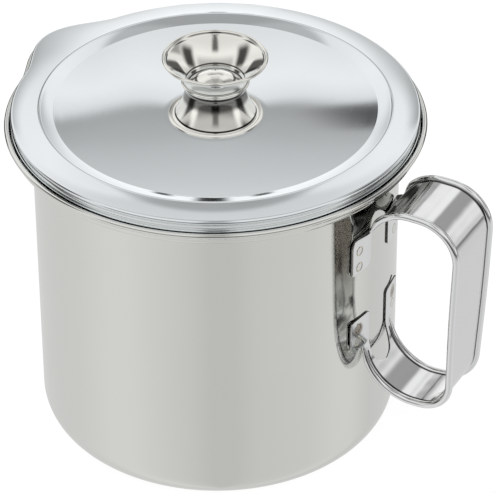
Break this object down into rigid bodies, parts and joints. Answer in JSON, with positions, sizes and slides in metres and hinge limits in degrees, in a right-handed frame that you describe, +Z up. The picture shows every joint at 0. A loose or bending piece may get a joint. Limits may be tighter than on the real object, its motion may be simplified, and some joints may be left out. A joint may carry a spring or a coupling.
{
  "type": "bacon grease container",
  "caption": "Stainless pot for bacon grease with a side strap handle, a pouring lip, a lift-out strainer and a lift-off lid with a flared knob.",
  "frame": {"origin": "centre of the flat base, on the surface that the pot stands on", "axes": "+Z up along the pot's axis, +X out through the handle, the pouring lip near -X"},
  "size_m": [0.169, 0.1374, 0.1356],
  "materials": {
    "satin_steel": "fine satin",
    "handle_steel": "polished",
    "weld_steel": "satin, faintly heat-tinted",
    "strainer_steel": "satin",
    "mesh_steel": "satin",
    "lid_steel": "bright satin",
    "knob_steel": "polished",
    "fastener_steel": "plain stainless"
  },
  "bodies": {
    "pot": {"pot_body": "satin_steel", "handle_strap": "handle_steel", "handle_welds": "weld_steel"},
    "strainer": {"strainer_basket": "strainer_steel", "strainer_mesh": "mesh_steel", "mesh_ring": "strainer_steel"},
    "lid": {"lid_shell": "lid_steel", "knob_bell": "knob_steel", "knob_cup": "knob_steel", "knob_cap": "knob_steel", "knob_screw": "fastener_steel", "knob_washer": "fastener_steel", "knob_nut": "fastener_steel"}
  },
  "joints": [
    {"name": "strainer_lift", "type": "slide", "parent": "pot", "child": "strainer", "axis": [0, 0, 1], "range_m": [0, 0.07]},
    {"name": "lid_lift", "type": "slide", "parent": "strainer", "child": "lid", "axis": [0, 0, 1], "range_m": [0, 0.04]}
  ]
}
